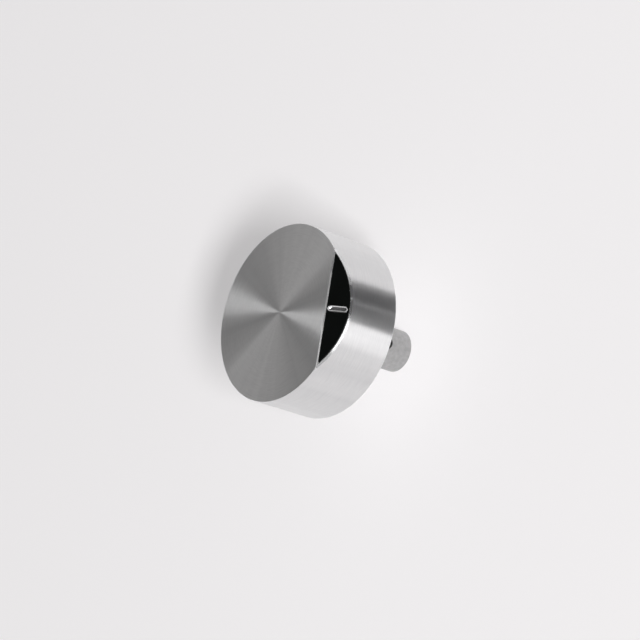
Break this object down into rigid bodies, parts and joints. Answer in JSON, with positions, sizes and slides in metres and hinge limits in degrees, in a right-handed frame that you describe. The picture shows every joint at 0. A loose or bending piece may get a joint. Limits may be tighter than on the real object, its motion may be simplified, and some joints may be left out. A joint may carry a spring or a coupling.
{
  "type": "control knob",
  "caption": "Turned metal control knob with a spun face, a sloped black pointer facet with a bright index bar, and a rear stem that takes a shaft and clamps it with a grub screw.",
  "frame": {"origin": "centre of the stem's open end, where the shaft goes in", "axes": "+Z along the knob's axis to the front face; the pointer facet and the grub screw are on the -Y side; +X to the right seen from the pointer"},
  "size_m": [0.042, 0.042, 0.0367],
  "materials": {
    "brushed_aluminium": "spun in rings on the face, brushed around the side",
    "black_gloss": "gloss black",
    "bright_aluminium": "bright cut",
    "matte_grey_metal": "blasted, matte grey",
    "black_steel": "black oxide"
  },
  "bodies": {
    "root": {"knob_body": "brushed_aluminium", "pointer_plate": "black_gloss", "index_bar": "bright_aluminium", "shaft_stem": "matte_grey_metal", "grub_screw": "black_steel"}
  },
  "joints": []
}
